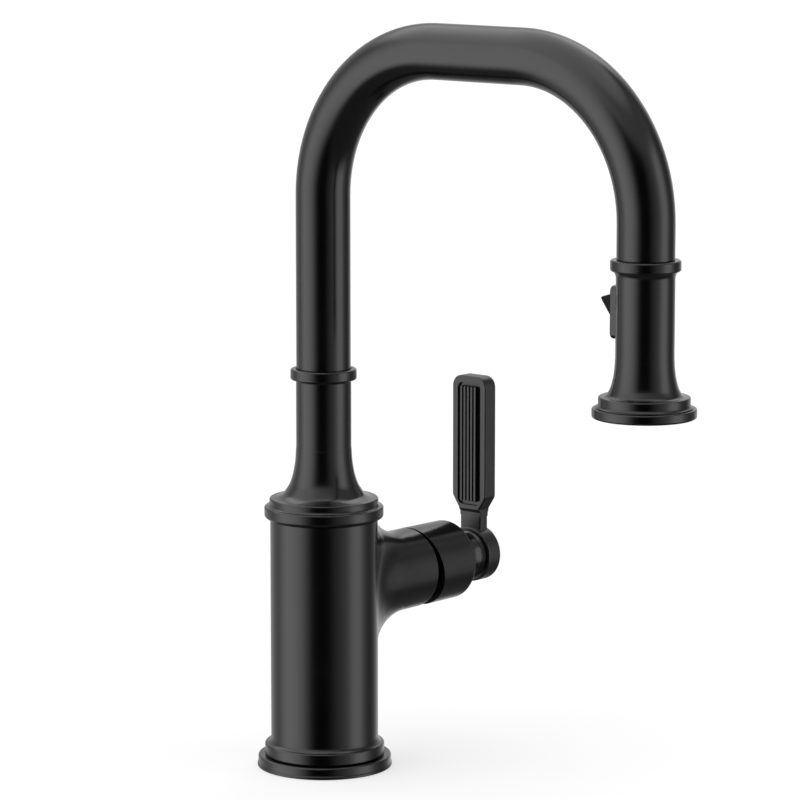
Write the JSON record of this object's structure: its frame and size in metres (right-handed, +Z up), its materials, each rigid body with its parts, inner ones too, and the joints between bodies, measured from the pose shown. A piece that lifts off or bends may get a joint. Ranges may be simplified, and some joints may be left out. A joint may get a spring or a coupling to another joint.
{
  "type": "pull-down kitchen faucet",
  "caption": "Single-handle pull-down kitchen faucet with a squared gooseneck spout, side lever with a ribbed paddle and a docked spray wand with a rocker key.",
  "frame": {"origin": "centre of the base ring's underside, on the deck plane", "axes": "+Z up out of the deck, -Y towards the spout outlet and the sink, +X towards the handle"},
  "size_m": [0.1452, 0.2427, 0.4764],
  "materials": {
    "satin_black_metal": "satin black coating over brass and zinc castings",
    "black_plastic": "moulded, fine grain",
    "grey_plastic": "moulded, glass filled",
    "nylon": "natural, low friction",
    "rubber": "soft, dull",
    "brass": "machined",
    "copper_tube": "drawn copper",
    "steel": "plain stainless",
    "ceramic": "lapped alumina",
    "hose": "braided nylon sleeve over the hose"
  },
  "bodies": {
    "base": {"base_ring": "satin_black_metal", "base_gasket": "rubber", "body_shell": "satin_black_metal", "shank": "brass", "mounting_washer": "rubber", "mounting_plate": "steel", "mounting_nut": "grey_plastic", "nut_screws": "steel", "swivel_post": "brass", "glide_rings": "nylon", "retaining_ring": "nylon", "thrust_washer": "black_plastic", "manifold": "brass", "hot_supply_tube": "copper_tube", "cold_supply_tube": "copper_tube", "outlet_tube": "copper_tube", "outlet_socket": "grey_plastic", "port_seals": "rubber", "cartridge_housing": "nylon", "fixed_disc": "ceramic", "cartridge_nut": "brass", "bonnet": "black_plastic"},
    "spout": {"spout_hub": "satin_black_metal", "spout_collar": "satin_black_metal", "spout_tube": "satin_black_metal", "hose_guide": "nylon", "dock_sleeve": "black_plastic", "dock_magnet": "steel", "spray_hose": "hose", "hose_plug": "brass", "plug_o_ring": "rubber"},
    "hose_end": {"hose_reach": "hose", "hose_ferrule": "steel", "hose_stem": "brass", "stem_o_ring": "rubber"},
    "wand": {"wand_shell": "satin_black_metal", "wand_collar": "satin_black_metal", "wand_skirt": "satin_black_metal", "spray_face": "black_plastic", "nozzle_membrane": "rubber", "aerator_housing": "black_plastic", "aerator_screen": "steel", "wand_core": "black_plastic", "diverter_spring": "steel", "wand_inlet": "black_plastic", "check_valve": "nylon", "rocker_bezel": "satin_black_metal", "rocker_pin": "steel"},
    "rocker": {"rocker_button": "black_plastic"},
    "plunger": {"diverter_plunger": "nylon"},
    "rotor": {"cartridge_rotor": "nylon", "pivot_pin": "steel"},
    "disc": {"moving_disc": "ceramic", "disc_carrier": "nylon"},
    "handle": {"lever_stem": "brass", "handle_cap": "satin_black_metal", "handle_set_screw": "steel", "handle_spool": "satin_black_metal", "lever": "satin_black_metal", "lever_screw": "steel"}
  },
  "joints": [
    {"name": "spout_swivel", "type": "hinge", "parent": "base", "child": "spout", "pos_m": [0, 0, 0.12], "axis": [0, 0, 1], "continuous": true},
    {"name": "wand_pull", "type": "slide", "parent": "spout", "child": "hose_end", "axis": [0, 0, -1], "range_m": [0, 0.14], "deforming": ["hose_reach"]},
    {"name": "wand_turn", "type": "hinge", "parent": "hose_end", "child": "wand", "pos_m": [0, -0.188, 0.25], "axis": [0, 0, 1], "continuous": true},
    {"name": "spray_toggle", "type": "hinge", "parent": "wand", "child": "rocker", "pos_m": [0, -0.1754, 0.2307], "axis": [1, 0, 0], "range_deg": [0, 20]},
    {"name": "diverter_shift", "type": "slide", "parent": "wand", "child": "plunger", "axis": [0, 0, -1], "range_m": [0, 0.00327], "deforming": ["diverter_spring"]},
    {"name": "handle_turn", "type": "hinge", "parent": "base", "child": "rotor", "pos_m": [0.061, 0, 0.0853], "axis": [1, 0, 0], "range_deg": [-48, 48]},
    {"name": "handle_lift", "type": "hinge", "parent": "rotor", "child": "handle", "pos_m": [0.061, 0, 0.0853], "axis": [0, 1, 0], "range_deg": [0, 19.5]},
    {"name": "disc_shift", "type": "slide", "parent": "rotor", "child": "disc", "axis": [0, 0, 1], "range_m": [0, 0.0041]}
  ],
  "couplings": [
    {"joint": "spray_toggle", "follows": "diverter_shift", "rad_per_m": 106.92},
    {"joint": "disc_shift", "follows": "handle_lift", "m_per_rad": 0.01177}
  ]
}
